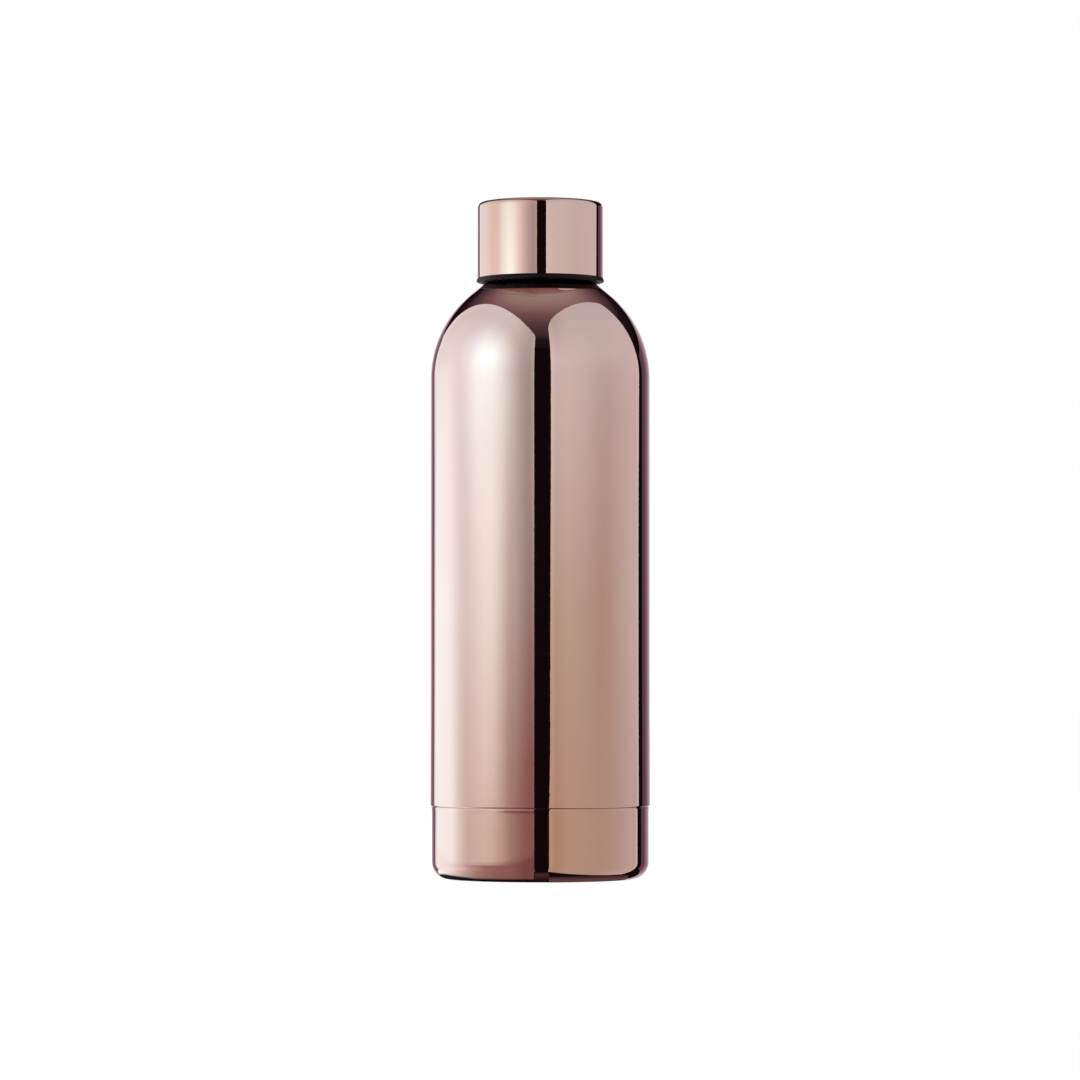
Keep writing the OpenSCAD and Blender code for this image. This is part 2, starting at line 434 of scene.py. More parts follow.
def copper_mirror(name, pale, deep, polish):
    """Rose-gold mirror plating: faint clouding, polishing haze and a trace of orange peel."""
    material, tree, shader = new_material(name)
    shader.inputs["Metallic"].default_value = 1
    colour = ramp_of(tree, noise_of(tree, 22, 3), [(0.35, deep), (0.65, pale)])
    haze = noise_of(tree, 60, 4, (1, 1, 0.25))
    rough = range_of(tree, haze, 0.3, 0.75, polish, polish * 2.2)
    peel = bump_of(tree, noise_of(tree, 420, 2), 0.02, 0.2 * MM)
    feed(tree, shader, Base_Color=colour, Roughness=rough, Normal=peel)
    return material


def steel(name, colour, rough, scratch, stretch):
    """Bare stainless steel with grain along its last working."""
    material, tree, shader = new_material(name)
    shader.inputs["Metallic"].default_value = 1
    darker = tuple(c * 0.86 for c in colour)
    shade = ramp_of(tree, noise_of(tree, 35, 3), [(0.3, darker), (0.7, colour)])
    grain = noise_of(tree, 900, 4, stretch, 0.6)
    gloss = range_of(tree, grain, 0.3, 0.7, rough * 0.8, rough * 1.3)
    lines = bump_of(tree, grain, scratch, 0.2 * MM)
    feed(tree, shader, Base_Color=shade, Roughness=gloss, Normal=lines)
    return material


def moulded(name, colour, rough, grain_scale, grain, spread=0.85):
    """Moulded plastic or rubber with a fine spark-eroded grain, and its shader."""
    material, tree, shader = new_material(name)
    darker = tuple(c * spread for c in colour)
    shade = ramp_of(tree, noise_of(tree, 45, 3), [(0.3, darker), (0.7, colour)])
    texture = noise_of(tree, grain_scale, 3)
    gloss = range_of(tree, texture, 0.3, 0.7, rough * 0.85, rough * 1.15)
    pits = bump_of(tree, texture, grain, 0.1 * MM)
    feed(tree, shader, Base_Color=shade, Roughness=gloss, Normal=pits)
    return material, shader


def black_plastic(name):
    """Satin black plastic that mirrors little of the stage."""
    material, shader = moulded(name, (0.003, 0.003, 0.0035), 0.42, 1500, 0.10)
    shader.inputs["Specular IOR Level"].default_value = 0.2
    shader.inputs["Specular Tint"].default_value = (1, 0.72, 0.85, 1)
    return material


def milky_silicone(name):
    """Soft white silicone that light soaks into."""
    material, shader = moulded(name, (0.80, 0.79, 0.76), 0.45, 900, 0.05, 0.95)
    shader.inputs["Subsurface Weight"].default_value = 0.4
    shader.inputs["Subsurface Radius"].default_value = (1, 0.9, 0.8)
    shader.inputs["Subsurface Scale"].default_value = 1 * MM
    return material


def foam(name):
    """Pale closed-cell foam."""
    material, tree, shader = new_material(name)
    cells = cells_of(tree, 1600)
    shade = ramp_of(tree, cells, [(0.0, (0.74, 0.74, 0.71)), (0.8, (0.5, 0.5, 0.48))])
    shader.inputs["Roughness"].default_value = 0.85
    feed(tree, shader, Base_Color=shade, Normal=bump_of(tree, cells, 0.4, 0.2 * MM))
    return material


def crinkled_foil(name):
    """Thin copper foil with pressed wrinkles."""
    material, tree, shader = new_material(name)
    shader.inputs["Metallic"].default_value = 1
    folds = cells_of(tree, 160)
    shade = ramp_of(tree, folds, [(0.2, (0.72, 0.36, 0.22)), (0.8, (0.84, 0.46, 0.30))])
    shader.inputs["Roughness"].default_value = 0.24
    feed(tree, shader, Base_Color=shade, Normal=bump_of(tree, folds, 0.35, 0.4 * MM))
    return material


def bead_glass(name):
    """Sealing glass with faint bubbles."""
    material, tree, shader = new_material(name)
    cloud = noise_of(tree, 700, 3)
    shade = ramp_of(tree, cloud, [(0.3, (0.22, 0.28, 0.25)), (0.7, (0.34, 0.42, 0.38))])
    feed(tree, shader, Base_Color=shade, Roughness=range_of(tree, cloud, 0.3, 0.7, 0.04, 0.12))
    shader.inputs["Transmission Weight"].default_value = 0.35
    shader.inputs["IOR"].default_value = 1.52
    return material


# ---------------------------------------------------------------------------------------------
# The bottle's pieces
# ---------------------------------------------------------------------------------------------


def shoulder_corner_z(dome_r):
    """Height where the straight wall and the shoulder's cone would meet."""
    return SHOULDER_Z + dome_r * math.tan(SHOULDER_ANGLE / 2)


def throat_z(wall_r, dome_r, throat_r):
    """Height where the shoulder's cone meets the neck."""
    cone_r = wall_r - dome_r + dome_r * math.cos(SHOULDER_ANGLE)
    cone_z = SHOULDER_Z + dome_r * math.sin(SHOULDER_ANGLE)
    return cone_z + (cone_r - throat_r) / math.tan(SHOULDER_ANGLE)


def mirror_body():
    """Outer wall: rolled edge at the foot, straight wall, dome and collar."""
    collar_r = COLLAR_BORE_R + SHEET
    inner_r = BODY_R - SHEET
    inner_dome = SHOULDER_R - SHEET
    inner_skirt = SKIRT_R - SHEET
    collar_fillet = 0.4 * MM
    seam_z = CUP_HIGH.z + SEAM_GAP
    roll_z = seam_z + math.sqrt(ROLL_R ** 2 - (SKIRT_R - ROLL_X) ** 2)
    roll_start = math.atan2(roll_z - seam_z, SKIRT_R - ROLL_X)
    roll = []
    steps = 40
    for i in range(steps + 1):
        angle = -roll_start * (1 - i / steps)
        roll.append((ROLL_X + ROLL_R * math.cos(angle), roll_z + ROLL_R * math.sin(angle)))
    corners = [
        (SKIRT_R, SHELL_LOW.z),
        *roll,
        (BODY_R, FLARE_TOP_Z, FLARE_BEND_R),
        (BODY_R, shoulder_corner_z(SHOULDER_R), SHOULDER_R),
        (collar_r, throat_z(BODY_R, SHOULDER_R, collar_r), collar_fillet),
        (collar_r, SHELL_HIGH.z, 0.12 * MM),
        (COLLAR_BORE_R, SHELL_HIGH.z),
        (COLLAR_BORE_R, throat_z(inner_r, inner_dome, COLLAR_BORE_R), collar_fillet),
        (inner_r, shoulder_corner_z(inner_dome), inner_dome),
        (inner_r, roll_z + SHEET),
        (inner_skirt, roll_z - SHEET),
        (inner_skirt, SHELL_LOW.z),
    ]
    piece = lathe("mirror_body", outline(corners, True), True, spun_wall)
    place(piece, "bottle", "copper_mirror", BODY_COPPER, "outer_shell")


def cup_edge(radius, height, angle):
    """The trimmed upper edge of the foot cup, which isn't quite even."""
    edge_h, dent_in, dent_down = 0.6 * MM, 0.05 * MM, 0.07 * MM
    radius, height = spun_wall(radius, height, angle)
    share = max(0, 1 - (CUP_HIGH.z - height) / edge_h)
    burr = ripple(angle, height, 18, 8 * MM) + 0.6 * ripple(angle, height, 60, 8 * MM)
    return radius - dent_in * share * max(0, burr), height - dent_down * share * abs(burr)


def mirror_foot_cup():
    """Cup over the foot, with a shallow recess under it."""
    edge_r = SHEET / 2
    rim_r = CUP_HIGH.x
    corners = [
        (0, RECESS_DEPTH),
        (RECESS_R - RECESS_SLOPE, RECESS_DEPTH, 1.2 * MM),
        (RECESS_R, CUP_LOW.z, 0.8 * MM),
        (CUP_R, CUP_LOW.z, CUP_CORNER_R),
        (CUP_R, CUP_HIGH.z - CUP_BULGE_H, 6 * MM),
        (rim_r, CUP_HIGH.z - edge_r * 1.2, edge_r * 0.6),
        (rim_r - edge_r * 0.4, CUP_HIGH.z, edge_r * 0.4),
        (SKIRT_R, CUP_HIGH.z),
        (SKIRT_R, SHEET, CUP_CORNER_R - SHEET),
        (RECESS_R + SHEET, SHEET, 0.5 * MM),
        (RECESS_R + SHEET - RECESS_SLOPE, RECESS_DEPTH + SHEET, 0.8 * MM),
        (0, RECESS_DEPTH + SHEET),
    ]
    piece = lathe("mirror_foot_cup", outline(corners, False), False, cup_edge)
    place(piece, "bottle", "copper_mirror_cup", CUP_COPPER, "base_cup")


def steel_flask():
    """Inner wall with its dome, neck, rolled rim and thread."""
    wall_r = VESSEL_HIGH.x
    dome_r = SHOULDER_R - SHEET - VACUUM_GAP
    bore_r = wall_r - SHEET
    bore_dome = dome_r - SHEET
    thread_low = 192.85 * MM
    rim_low = VESSEL_HIGH.z - RIM_R * 1.5
    rim_round = RIM_R * 0.998
    lower = [
        (wall_r, VESSEL_LOW.z),
        (wall_r, shoulder_corner_z(dome_r), dome_r),
        (NECK_R, throat_z(wall_r, dome_r, NECK_R), 0.8 * MM),
        (NECK_R, thread_low),
    ]
    neck = [
        (NECK_R, thread_low),
        (NECK_R, rim_low),
    ]
    upper = [
        (NECK_R, rim_low),
        (NECK_R, VESSEL_HIGH.z, rim_round),
        (MOUTH_R, VESSEL_HIGH.z, rim_round),
        (MOUTH_R, throat_z(bore_r, bore_dome, MOUTH_R), 1.6 * MM),
        (bore_r, shoulder_corner_z(bore_dome), bore_dome),
        (bore_r, VESSEL_LOW.z),
    ]
    points = joined(outline(lower, False), outline(neck, False, THREAD_STEP), outline(upper, False))
    piece = lathe("steel_flask", points, True, neck_thread)
    place(piece, "bottle", "brushed_liner_steel", FLASK_STEEL, "inner_vessel")


def steel_flask_base():
    """Flanged, dimpled plate that closes the inner wall."""
    plate_r = PLATE_HIGH.x
    dimple_r = 12 * MM
    dimple = 1 * MM
    corner_r = 3.2 * MM
    steps = 12
    rise = []
    for i in range(1, steps + 1):
        share = i / steps
        rise.append((dimple_r * share, PLATE_LOW.z + dimple * (1 - share ** 2)))
    corners = [
        (0, PLATE_LOW.z + dimple),
        *rise,
        (plate_r, PLATE_LOW.z, corner_r),
        (plate_r, PLATE_HIGH.z, 0.1 * MM),
        (plate_r - SHEET, PLATE_HIGH.z, 0.1 * MM),
        (plate_r - SHEET, PLATE_LOW.z + SHEET, corner_r - SHEET),
        *[(radius, height + SHEET) for radius, height in reversed(rise)],
        (0, PLATE_LOW.z + dimple + SHEET),
    ]
    piece = lathe("steel_flask_base", outline(corners, False), False)
    place(piece, "bottle", "brushed_liner_steel", FLASK_STEEL, "inner_bottom")


def mirror_cap():
    """Drawn steel cup of the cap."""
    low_edge = 0.14 * MM
    corners = [
        (0, CAP_HIGH.z),
        (CAP_HIGH.x, CAP_HIGH.z, CAP_EDGE_R),
        (CAP_HIGH.x, CAP_LOW.z, low_edge),
        (LINER_R, CAP_LOW.z, low_edge),
        (LINER_R, CAP_HIGH.z - CAP_SHEET, CAP_EDGE_R - CAP_SHEET),
        (0, CAP_HIGH.z - CAP_SHEET),
    ]
    piece = lathe("mirror_cap", outline(corners, False), False, cap_wall)
    place(piece, "cap", "copper_mirror_cap", CAP_COPPER, "cap_shell")


def plastic_liner():
    """Moulded cap liner: flared lip, threaded bore, retaining bead and top plate."""
    bead_z = GASKET_LOW.z - BEAD_R
    thread_top = bead_z - BEAD_R * 1.2
    lip = [
        (0, LINER_HIGH.z),
        (LINER_R, LINER_HIGH.z, 0.3 * MM),
        (LINER_R, CAP_LOW.z),
        (LIP_TOP_R, CAP_LOW.z, 0.05 * MM),
        (LINER_HIGH.x, LINER_LOW.z, LIP_ROUND_R),
        (LINER_BORE_R + ENTRY_CHAMFER, LINER_LOW.z, 0.1 * MM),
        (LINER_BORE_R, LINER_LOW.z + ENTRY_CHAMFER, 0.15 * MM),
        (LINER_BORE_R, LINER_LOW.z + 2 * ENTRY_CHAMFER),
    ]
    bore = [
        (LINER_BORE_R, LINER_LOW.z + 2 * ENTRY_CHAMFER),
        (LINER_BORE_R, thread_top),
    ]
    bead = []
    steps = 16
    for i in range(steps + 1):
        angle = math.pi * (i / steps - 0.5)
        bead.append((LINER_SEAT_R - BEAD_R * math.cos(angle), bead_z + BEAD_R * math.sin(angle)))
    seat = [
        (LINER_BORE_R, thread_top),
        *bead,
        (LINER_SEAT_R, LINER_PLATE_Z, 0.1 * MM),
        (0, LINER_PLATE_Z),
    ]
    points = joined(outline(lip, False), outline(bore, False, THREAD_STEP), outline(seat, False))
    piece = lathe("plastic_liner", points, False, liner_thread)
    place(piece, "cap", "black_plastic", BLACK_PLASTIC, "cap_liner")


def silicone_ring():
    """Gasket ring with rounded edges and a shallow dent where the rim presses."""
    hole_r = 15 * MM
    edge = 0.3 * MM
    dent = 0.12 * MM
    corners = [
        (hole_r, GASKET_LOW.z, edge),
        (MOUTH_R - edge, GASKET_LOW.z, edge),
        (MOUTH_R, GASKET_LOW.z + dent, edge),
        (NECK_R, GASKET_LOW.z + dent, edge),
        (NECK_R + edge, GASKET_LOW.z, edge),
        (GASKET_HIGH.x, GASKET_LOW.z, edge),
        (GASKET_HIGH.x, GASKET_HIGH.z, edge),
        (hole_r, GASKET_HIGH.z, edge),
    ]
    piece = lathe("silicone_ring", outline(corners, True), True)
    place(piece, "seal", "silicone", SILICONE, "cap_gasket")


def paint_node(node, material):
    """Gives a carried-over CAD node its material."""
    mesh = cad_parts[node].data
    mesh.materials.clear()
    mesh.materials.append(material)


# ---------------------------------------------------------------------------------------------
# The stage: two tall panels, a backdrop, a ceiling, glows at the foot, a gel by the cap, a floor,
# the world and the camera
# ---------------------------------------------------------------------------------------------


def glowing(name):
    """A light-giving material, its node tree and its emission shader."""
    material = bpy.data.materials.new(name)
    material.use_nodes = True
    tree = material.node_tree
    tree.nodes.clear()
    light = add(tree, "ShaderNodeEmission")
    output = add(tree, "ShaderNodeOutputMaterial")
    light.inputs["Strength"].default_value = PEAK
    tree.links.new(light.outputs["Emission"], output.inputs["Surface"])
    return material, tree, light


def dimmed(stops):
    """Stops as shares of PEAK, because a colour ramp holds nothing above 1."""
    return [(place, tuple(part / PEAK for part in shade)) for place, shade in stops]


def hidden(name, points, faces, material):
    """A piece of the stage that the camera doesn't see and that throws no shadow."""
    mesh = bpy.data.meshes.new(name)
    mesh.from_pydata(points, [], faces)
    mesh.materials.append(material)
    thing = link_object(name, mesh)
    thing.visible_camera = False
    thing.visible_shadow = False
    return thing


def card(name, edge, place_at, material):
    """A flat hidden card; its edge is in its own X and Y."""
    thing = hidden(name, [(x, y, 0) for x, y in edge], [tuple(range(len(edge)))], material)
    thing.matrix_world = place_at
    return thing


def upright(facing_deg, distance):
    """Matrix of a standing card: X runs along it, Y runs up and Z points away from the bottle."""
    facing = math.radians(facing_deg)
    turn = Matrix.Rotation(facing, 4, "Z") @ Matrix.Rotation(math.pi / 2, 4, "X")
    return turn @ Matrix.Translation((0, 0, distance))


def wall_hit(phi_deg, facing_deg, distance):
    """Where the straight wall's mirror direction phi meets a standing card, along the card."""
    phi, facing = math.radians(phi_deg), math.radians(facing_deg)
    at = Vector((math.sin(phi / 2), -math.cos(phi / 2))) * BODY_R
    ray = Vector((math.sin(phi), -math.cos(phi)))
    normal = Vector((math.sin(facing), -math.cos(facing)))
    sideways = Vector((math.cos(facing), math.sin(facing)))
    reach = (distance - at.dot(normal)) / ray.dot(normal)
    return (at + ray * reach).dot(sideways)


def panel(name, facing_deg, distance, corners, levels, spot=None):
    """A standing card that glows.

    Corners are (mirror direction, height[, rounding]).  A level is (height, stops), a stop is
    (mirror direction, colour), and the colour blends up the card from each level to the next.
    A spot is (mirror direction, height, half width, half height, colour).
    """
    def along(phi_deg):
        return wall_hit(phi_deg, facing_deg, distance)

    material, tree, light = glowing(name)
    where = place_of(tree)
    parts = parts_of(tree, where)
    places = [(along(c[0]), *c[1:]) for c in corners]
    start, end = min(p[0] for p in places), max(p[0] for p in places)
    share = range_of(tree, parts["X"], start, end, 0, 1)
    colour = None
    for height, stops in levels:
        shades = sorted(((along(phi) - start) / (end - start), shade) for phi, shade in stops)
        here = ramp_of(tree, share, dimmed(shades), "CARDINAL")
        if colour is None:
            colour, below = here, height
            continue
        rise = range_of(tree, parts["Y"], below, height, 0, 1)
        colour = blend_of(tree, "MIX", rise, colour, here)
        below = height
    if spot:
        phi, height, half_w, half_h, shade = spot
        shade = tuple(part / PEAK for part in shade)
        centred = add(tree, "ShaderNodeMapping", vector_type="TEXTURE")
        centred.inputs["Location"].default_value = (along(phi), height, 0)
        centred.inputs["Scale"].default_value = (half_w, half_h, 1)
        ball = add(tree, "ShaderNodeTexGradient", gradient_type="QUADRATIC_SPHERE")
        tree.links.new(where, centred.inputs["Vector"])
        tree.links.new(centred.outputs["Vector"], ball.inputs["Vector"])
        colour = blend_of(tree, "ADD", ball.outputs["Fac"], colour, shade)
    tree.links.new(colour, light.inputs["Color"])
    card(name, outline(places, True, WHOLE_SIDE), upright(facing_deg, distance), material)


def left_panel():
    """Large panel on the left, with a lamp's hot spot showing through it."""
    foot = [
        (-150, (0.45, 0.42, 0.45)), (-145, (0.95, 0.98, 1.05)), (-115, (1.02, 1.20, 1.28)),
        (-103, (0.94, 1.02, 1.06)), (-88, (0.70, 0.63, 0.64)), (-72, (0.68, 0.60, 0.57)),
        (-58, (0.69, 0.62, 0.57)), (-47, (0.60, 0.51, 0.45)), (-35, (0.43, 0.33, 0.28)),
        (-24, (0.33, 0.20, 0.18)), (-12, (0.26, 0.13, 0.12)), (-6.4, (0.30, 0.15, 0.15)),
    ]
    table = [
        (-150, (0.60, 0.56, 0.60)), (-145, (0.95, 1.0, 1.05)), (-120, (0.98, 1.06, 1.07)),
        (-104, (0.86, 0.83, 0.84)), (-88, (0.60, 0.50, 0.50)), (-68, (0.37, 0.26, 0.24)),
        (-50, (0.31, 0.17, 0.165)), (-32, (0.28, 0.14, 0.14)), (-16, (0.20, 0.09, 0.09)),
        (-6.4, (0.20, 0.10, 0.09)),
    ]
    seam = [
        (-150, (0.45, 0.42, 0.45)), (-145, (0.97, 1.02, 1.10)), (-115, (1.03, 1.20, 1.30)),
        (-103, (0.95, 1.03, 1.08)), (-88, (0.72, 0.67, 0.68)), (-72, (0.74, 0.70, 0.68)),
        (-58, (0.80, 0.77, 0.74)), (-47, (0.70, 0.64, 0.59)), (-35, (0.46, 0.37, 0.33)),
        (-24, (0.37, 0.25, 0.23)), (-12, (0.27, 0.14, 0.13)), (-6.4, (0.30, 0.15, 0.15)),
    ]
    low = [
        (-150, (0.40, 0.37, 0.40)), (-145, (0.98, 1.05, 1.12)), (-115, (1.02, 1.20, 1.28)),
        (-103, (0.95, 1.03, 1.08)), (-88, (0.80, 0.80, 0.84)), (-72, (0.85, 0.89, 0.91)),
        (-58, (0.92, 1.00, 1.00)), (-47, (0.85, 0.90, 0.87)), (-35, (0.60, 0.57, 0.55)),
        (-24, (0.46, 0.43, 0.42)), (-12, (0.33, 0.27, 0.26)), (-6.4, (0.40, 0.30, 0.28)),
    ]
    waist = [
        (-150, (0.40, 0.37, 0.40)), (-145, (0.97, 1.03, 1.10)), (-115, (1.02, 1.18, 1.26)),
        (-103, (0.96, 1.03, 1.07)), (-88, (0.81, 0.82, 0.86)), (-72, (0.90, 0.96, 0.99)),
        (-58, (0.95, 1.04, 1.06)), (-47, (0.89, 0.96, 0.95)), (-35, (0.67, 0.66, 0.65)),
        (-24, (0.50, 0.49, 0.49)), (-12, (0.37, 0.33, 0.33)), (-6.4, (0.46, 0.41, 0.40)),
    ]
    middle = [
        (-150, (0.40, 0.36, 0.40)), (-145, (0.92, 0.96, 1.02)), (-115, (1.01, 1.16, 1.22)),
        (-103, (0.92, 0.97, 1.02)), (-88, (0.81, 0.82, 0.87)), (-72, (0.88, 0.95, 0.99)),
        (-58, (0.85, 0.93, 0.95)), (-47, (0.82, 0.88, 0.88)), (-35, (0.68, 0.70, 0.70)),
        (-24, (0.52, 0.53, 0.53)), (-12, (0.38, 0.37, 0.37)), (-6.4, (0.50, 0.48, 0.48)),
    ]
    high = [
        (-153, (0.60, 0.56, 0.60)), (-147, (0.96, 0.98, 1.03)), (-142, (0.90, 0.92, 0.96)),
        (-115, (0.88, 0.93, 0.97)), (-88, (0.78, 0.82, 0.88)), (-72, (0.77, 0.84, 0.90)),
        (-58, (0.72, 0.78, 0.80)), (-47, (0.72, 0.76, 0.76)), (-35, (0.66, 0.67, 0.67)),
        (-24, (0.55, 0.54, 0.56)), (-12, (0.42, 0.41, 0.41)), (-6.4, (0.52, 0.50, 0.50)),
    ]
    top = [
        (-153, (0.60, 0.56, 0.60)), (-147, (0.88, 0.88, 0.96)), (-142, (0.78, 0.78, 0.84)),
        (-115, (0.70, 0.72, 0.76)), (-88, (0.70, 0.73, 0.77)), (-58, (0.70, 0.73, 0.76)),
        (-35, (0.66, 0.66, 0.68)), (-24, (0.57, 0.55, 0.57)), (-12, (0.47, 0.46, 0.47)),
        (-6.4, (0.54, 0.52, 0.53)),
    ]
    corners = [(-153, -0.2), (-6.4, -0.2), (-6.4, 0.388, 0.02), (-153, 0.388, 0.02)]
    levels = [
        (-0.0014, table), (0.0024, foot), (0.012, foot), (0.035, seam), (0.09, low),
        (0.122, waist), (0.15, middle), (0.21, high), (0.31, top),
    ]
    lamp = (-59, 0.20, 0.115, 0.115, (0.50, 0.85, 0.95))
    panel("left_panel", -69, PANEL_DISTANCE, corners, levels, lamp)


def right_panel():
    """Panel on the right: cooler above, warmer towards the foot."""
    foot = [
        (10.8, (0.52, 0.38, 0.28)), (16, (0.46, 0.33, 0.25)), (30, (0.49, 0.38, 0.29)),
        (50, (0.47, 0.38, 0.31)), (70, (0.46, 0.36, 0.30)), (90, (0.49, 0.40, 0.36)),
        (110, (0.55, 0.46, 0.45)), (122, (0.57, 0.48, 0.48)), (126, (0.74, 0.68, 0.72)),
    ]
    low = [
        (10.8, (0.60, 0.52, 0.44)), (16, (0.52, 0.44, 0.37)), (30, (0.54, 0.47, 0.40)),
        (50, (0.50, 0.42, 0.37)), (70, (0.46, 0.36, 0.31)), (90, (0.52, 0.45, 0.43)),
        (110, (0.58, 0.53, 0.54)), (122, (0.61, 0.54, 0.56)), (126, (0.73, 0.67, 0.73)),
    ]
    middle = [
        (10.8, (0.72, 0.68, 0.67)), (16, (0.64, 0.60, 0.59)), (30, (0.65, 0.61, 0.60)),
        (50, (0.59, 0.55, 0.55)), (70, (0.51, 0.46, 0.45)), (90, (0.56, 0.50, 0.50)),
        (110, (0.60, 0.54, 0.56)), (122, (0.63, 0.54, 0.57)), (126, (0.72, 0.65, 0.71)),
    ]
    high = [
        (10.8, (0.78, 0.76, 0.77)), (16, (0.70, 0.67, 0.67)), (30, (0.67, 0.65, 0.67)),
        (50, (0.64, 0.62, 0.63)), (70, (0.60, 0.58, 0.59)), (90, (0.61, 0.58, 0.60)),
        (115, (0.64, 0.59, 0.62)), (128, (0.63, 0.59, 0.62)), (131, (0.67, 0.64, 0.70)),
    ]
    top = [
        (10.8, (0.60, 0.57, 0.58)), (22, (0.52, 0.49, 0.50)), (50, (0.57, 0.56, 0.58)),
        (90, (0.57, 0.56, 0.59)), (128, (0.56, 0.55, 0.58)), (133, (0.58, 0.57, 0.62)),
    ]
    corners = [
        (9.3, -0.145, 0.01), (126, -0.145, 0.01), (126.5, 0.12, 0.1), (129.5, 0.22, 0.1),
        (134.5, 0.445, 0.01), (11.6, 0.447, 0.075), (11.2, 0.15), (10.6, 0.1), (10.3, 0.04),
        (9.3, 0.018),
    ]
    levels = [(0.015, foot), (0.09, low), (0.15, middle), (0.20, high), (0.37, top)]
    panel("right_panel", 63.5, PANEL_DISTANCE, corners, levels)


def backdrop():
    """Plum card behind the bottle, lighter in the middle."""
    stops = [
        (136, (0.10, 0.055, 0.08)), (145, (0.13, 0.075, 0.10)), (152, (0.24, 0.15, 0.19)),
        (160, (0.40, 0.28, 0.34)), (168, (0.55, 0.43, 0.51)), (180, (0.66, 0.56, 0.63)),
        (192, (0.60, 0.47, 0.56)), (200, (0.48, 0.34, 0.41)), (208, (0.22, 0.14, 0.18)),
        (224, (0.10, 0.055, 0.08)),
    ]
    corners = [(136, -0.2), (224, -0.2), (224, 0.32), (136, 0.32)]
    panel("backdrop", 180, BACKDROP_DISTANCE, corners, [(0, stops)])


def round_glow(name, stops):
    """A light-giving material whose colour runs out from the card's own origin."""
    material, tree, light = glowing(name)
    reach = stops[-1][0]
    share = range_of(tree, length_of(tree, place_of(tree)), 0, reach, 0, 1)
    shades = dimmed([(r / reach, c) for r, c in stops])
    tree.links.new(ramp_of(tree, share, shades), light.inputs["Color"])
    return material


def azimuth_ramp(tree, stops):
    """A ramp of (azimuth, colour) stops round the bottle, in degrees from the front."""
    turn = add(tree, "ShaderNodeTexGradient", gradient_type="RADIAL")
    tree.links.new(place_of(tree), turn.inputs["Vector"])
    return ramp_of(tree, turn.outputs["Fac"], [(FRONT + a / 360, shade) for a, shade in stops])


def square(half):
    """Corners of a square round its origin."""
    return [(-half, -half), (half, -half), (half, half), (-half, half)]


def arc(radius, start_deg, end_deg, steps):
    """Points round the bottle, from one azimuth to another."""
    points = []
    for i in range(steps + 1):
        angle = math.radians(start_deg + (end_deg - start_deg) * i / steps)
        points.append((radius * math.sin(angle), -radius * math.cos(angle)))
    return points


def ceiling():
    """Warm dim ceiling, lighter over and behind the bottle."""
    stops = [
        (0, (0.33, 0.275, 0.275)), (0.17, (0.325, 0.265, 0.262)), (0.22, (0.305, 0.237, 0.237)),
        (0.27, (0.282, 0.206, 0.206)), (0.32, (0.24, 0.16, 0.17)), (0.365, (0.22, 0.135, 0.145)),
        (0.41, (0.177, 0.103, 0.114)), (0.46, (0.154, 0.09, 0.102)), (0.57, (0.104, 0.058, 0.069)),
        (0.69, (0.069, 0.04, 0.05)), (0.83, (0.046, 0.028, 0.033)), (0.97, (0.015, 0.009, 0.011)),
        (1.3, (0.01, 0.006, 0.009)),
    ]
    place_at = Matrix.Translation((0, 0.15, 0.79))
    card("ceiling", square(1.3), place_at, round_glow("ceiling", stops))


def ring_part(name, inner, outer, start_deg, end_deg, material):
    """Part of a ring on the floor that only the bottle's reflections see."""
    steps = 60
    edge = arc(outer, start_deg, end_deg, steps) + arc(inner, start_deg, end_deg, steps)[::-1]
    ring = card(name, edge, Matrix.Translation((0, 0, FLOOR_GLOW_Z)), material)
    ring.visible_diffuse = False
    ring.visible_transmission = False


def floor_left_glow():
    """Warm light whose inner edge fades, further out towards the left: a painted reflection of the
    lit floor, with painted shade next to the foot.
    """
    fade_from, fade_to = 0.0315, 0.040
    material, tree, light = glowing("floor_left")
    stops = [
        (-88, (1.02, 1.20, 1.25)), (-73, (1.0, 1.14, 1.17)), (-62, (0.89, 0.87, 0.88)),
        (-52, (0.63, 0.53, 0.53)), (-39.5, (0.37, 0.26, 0.24)), (-28.5, (0.31, 0.17, 0.165)),
        (-18, (0.28, 0.14, 0.14)), (-9, (0.20, 0.09, 0.09)), (-4, (0.20, 0.10, 0.09)),
    ]
    shifts = [(-72, grey(0.2)), (-60, grey(0.13)), (-47, grey(0.05)), (-41, grey(0))]
    fades = [(0.02, grey(0.015)), (0.13, grey(0.8)), (0.18, grey(1))]
    past = add(tree, "ShaderNodeMath", operation="SUBTRACT")
    share = range_of(tree, length_of(tree, place_of(tree)), fade_from, fade_to, 0, 1)
    tree.links.new(share, past.inputs[0])
    tree.links.new(azimuth_ramp(tree, shifts), past.inputs[1])
    fade = ramp_of(tree, past.outputs["Value"], fades)
    colour = blend_of(tree, "MULTIPLY", 1, azimuth_ramp(tree, dimmed(stops)), fade)
    tree.links.new(colour, light.inputs["Color"])
    return material


def floor_glow():
    """What the foot's rounding mirrors close by: painted reflections of warm light on the left, and
    of dark brown shade round the foot elsewhere.
    """
    middle = [
        (0, (0.01, 0.008, 0.009)), (0.0318, (0.01, 0.008, 0.009)), (0.0327, (0.024, 0.014, 0.015)),
        (0.034, (0.056, 0.021, 0.022)), (0.0353, (0.071, 0.026, 0.028)),
        (0.0368, (0.03, 0.018, 0.018)), (0.0376, (0.014, 0.01, 0.01)),
    ]
    right = [
        (0, (0.12, 0.06, 0.06)), (0.0318, (0.12, 0.06, 0.06)), (0.0338, (0.03, 0.015, 0.015)),
    ]
    ring_part("floor_left", 0.030, 0.040, -97, -3.8, floor_left_glow())
    ring_part("floor_middle", 0.031, 0.0376, -3.8, 5, round_glow("floor_middle", middle))
    ring_part("floor_right", 0.028, 0.0338, 5, 62, round_glow("floor_right", right))


